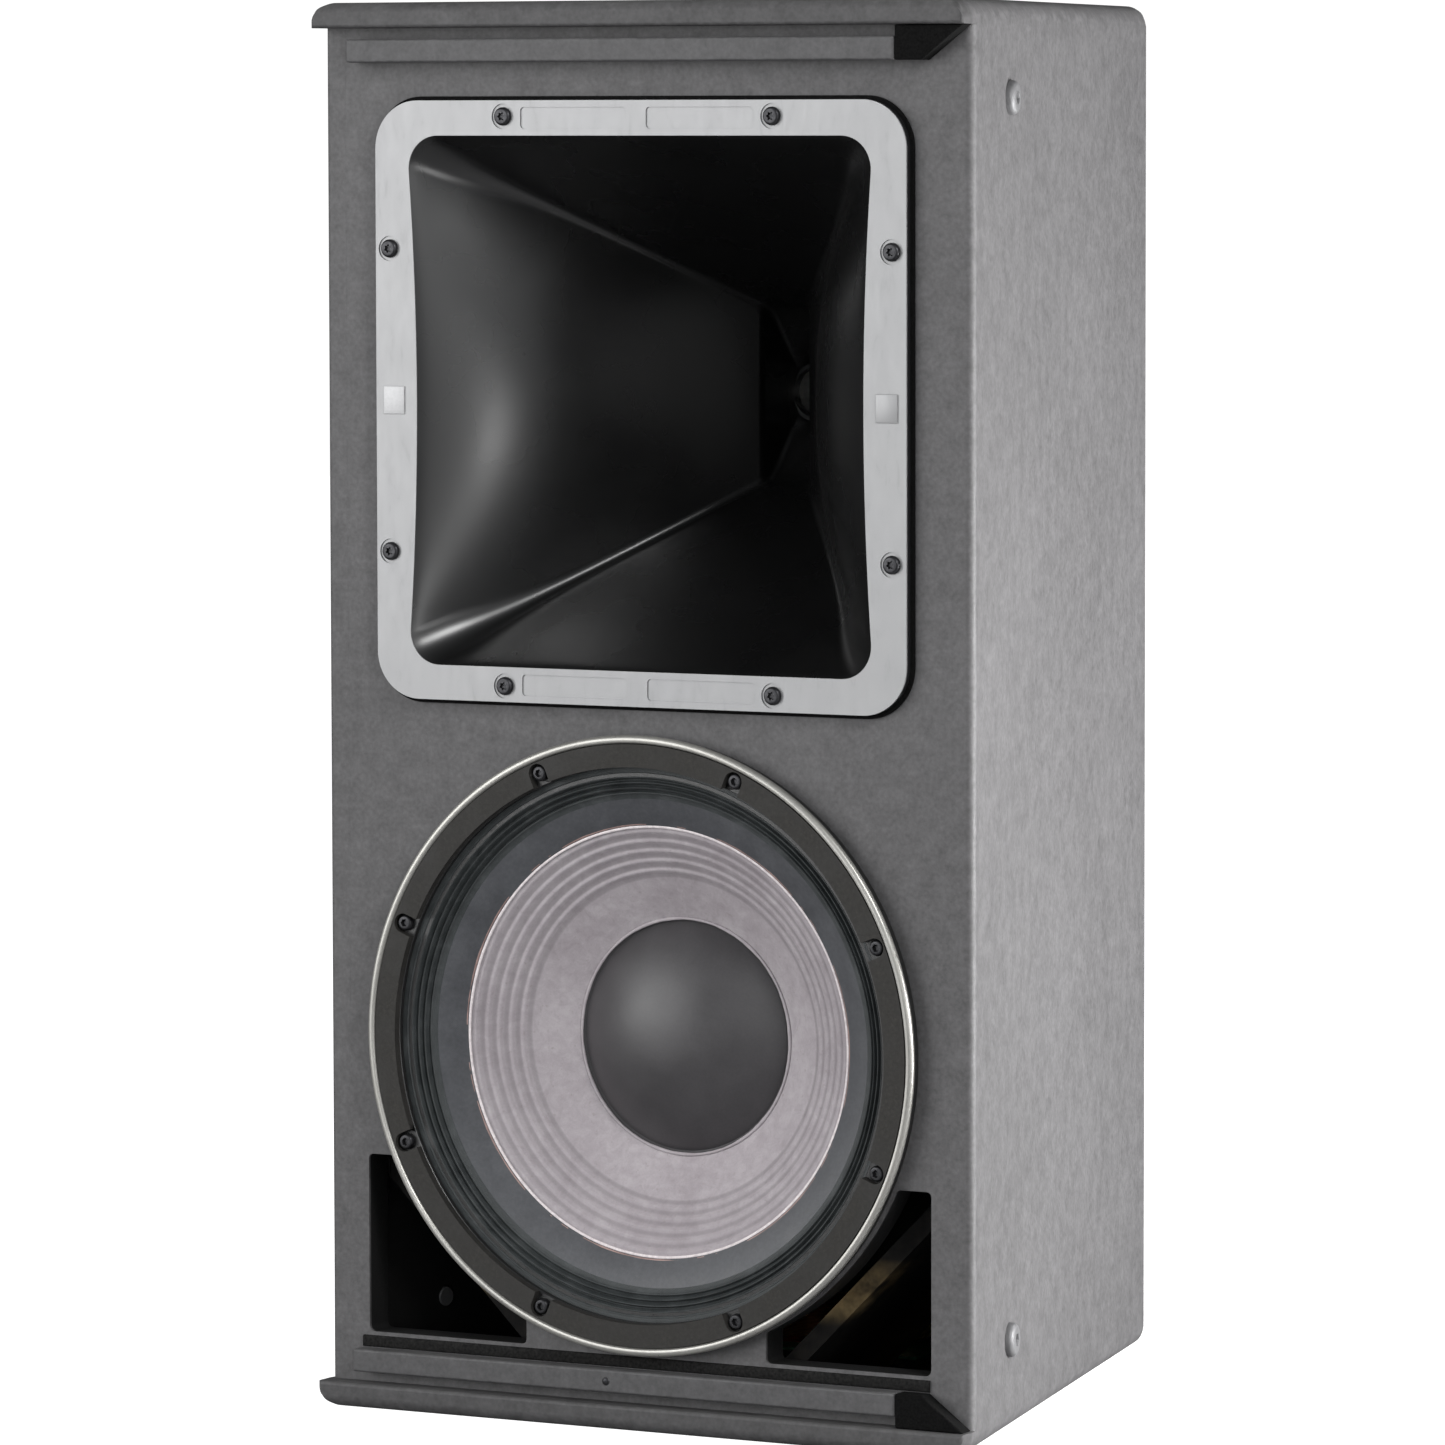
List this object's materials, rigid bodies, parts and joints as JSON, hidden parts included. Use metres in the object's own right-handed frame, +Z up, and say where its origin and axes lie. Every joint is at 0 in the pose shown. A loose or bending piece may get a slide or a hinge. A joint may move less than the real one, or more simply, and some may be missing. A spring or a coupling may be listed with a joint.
{
  "type": "pa speaker cabinet",
  "caption": "Tapered plywood loudspeaker cabinet with its grille off: square horn above a cone woofer, triangular corner vents, side rigging points.",
  "frame": {"origin": "on the floor under the cabinet, at mid width, in the plane of the front baffle's face", "axes": "+Z up, -Y out of the front, +X towards the cabinet's side that is on the right when its front is looked at"},
  "size_m": [0.368, 0.3865, 0.711],
  "materials": {
    "cabinet_paint": "plywood under tough dark grey pebbled paint, matt with a slight sheen",
    "bare_plywood": "unpainted birch plywood",
    "batten_paint": "softwood batten in the cabinet paint",
    "damping_wool": "loose polyester wool",
    "horn_moulding": "satin black moulded horn with a silver-grey painted flange",
    "black_seal": "closed-cell black foam seal",
    "zinc_steel": "zinc-plated turned steel",
    "ferrite": "sintered dark grey magnet",
    "driver_cap": "black-painted aluminium cap",
    "titanium_foil": "thin formed titanium",
    "cast_frame": "cast aluminium with a bright turned rim",
    "gasket_board": "dark pressed fibre ring",
    "surround_cloth": "corrugated treated cloth",
    "spider_cloth": "resin-dipped corrugated cloth",
    "cone_paper": "ribbed light grey pulp with a faint mauve tone",
    "dust_cap_paper": "pressed dark grey fibre dome",
    "coil_copper": "enamelled copper winding",
    "terminal_plastic": "black terminal block",
    "circuit_board": "green solder mask",
    "capacitor_film": "yellow tape-wrapped film capacitor",
    "lead_red": "red insulation",
    "lead_black": "black insulation",
    "plate_paint": "black powder coat",
    "socket_plastic": "dark moulded connector shell",
    "switch_plastic": "light grey lever",
    "rigging_steel": "steel screws finished to match the cabinet",
    "black_screw": "black oxide steel"
  },
  "bodies": {
    "cabinet": {"top_panel": "cabinet_paint", "bottom_panel": "cabinet_paint", "left_side_panel": "cabinet_paint", "right_side_panel": "cabinet_paint", "back_panel": "cabinet_paint", "front_baffle": "cabinet_paint", "window_brace": "bare_plywood", "left_vent_board": "bare_plywood", "right_vent_board": "bare_plywood", "top_grille_batten": "batten_paint", "bottom_grille_batten": "batten_paint", "damping_pad": "damping_wool", "horn_seal": "black_seal", "horn_waveguide": "horn_moulding", "hf_front_plate": "zinc_steel", "hf_magnet": "ferrite", "hf_rear_plate": "zinc_steel", "hf_back_cap": "driver_cap", "woofer_basket": "cast_frame", "woofer_gasket": "gasket_board", "woofer_surround": "surround_cloth", "woofer_spider": "spider_cloth", "woofer_top_plate": "zinc_steel", "woofer_magnet": "ferrite", "woofer_back_plate": "zinc_steel", "woofer_terminal": "terminal_plastic", "crossover_board": "circuit_board", "crossover_inductor": "coil_copper", "crossover_capacitor": "capacitor_film", "woofer_lead": "lead_red", "hf_lead": "lead_black", "input_plate": "plate_paint", "upper_speaker_socket": "socket_plastic", "lower_speaker_socket": "socket_plastic", "left_upper_rigging_plug": "rigging_steel", "left_lower_rigging_plug": "rigging_steel", "right_upper_rigging_plug": "rigging_steel", "right_lower_rigging_plug": "rigging_steel", "horn_screw_1": "black_screw", "horn_screw_2": "black_screw", "horn_screw_3": "black_screw", "horn_screw_4": "black_screw", "horn_screw_5": "black_screw", "horn_screw_6": "black_screw", "horn_screw_7": "black_screw", "horn_screw_8": "black_screw", "woofer_screw_1": "black_screw", "woofer_screw_2": "black_screw", "woofer_screw_3": "black_screw", "woofer_screw_4": "black_screw", "woofer_screw_5": "black_screw", "woofer_screw_6": "black_screw", "woofer_screw_7": "black_screw", "woofer_screw_8": "black_screw"},
    "woofer_moving": {"woofer_cone": "cone_paper", "woofer_dust_cap": "dust_cap_paper", "woofer_voice_coil": "coil_copper"},
    "hf_moving": {"hf_diaphragm": "titanium_foil"},
    "switch_lever": {"mode_switch": "switch_plastic"}
  },
  "joints": [
    {"name": "woofer_excursion", "type": "slide", "parent": "cabinet", "child": "woofer_moving", "axis": [0, -1, 0], "range_m": [-0.008, 0.008], "stiffness_N_per_m": 3200, "deforming": ["woofer_surround", "woofer_spider"]},
    {"name": "hf_diaphragm_travel", "type": "slide", "parent": "cabinet", "child": "hf_moving", "axis": [0, -1, 0], "range_m": [-0.0004, 0.0004], "stiffness_N_per_m": 20000},
    {"name": "mode_switch_slide", "type": "slide", "parent": "cabinet", "child": "switch_lever", "axis": [1, 0, 0], "range_m": [0, 0.003]}
  ]
}
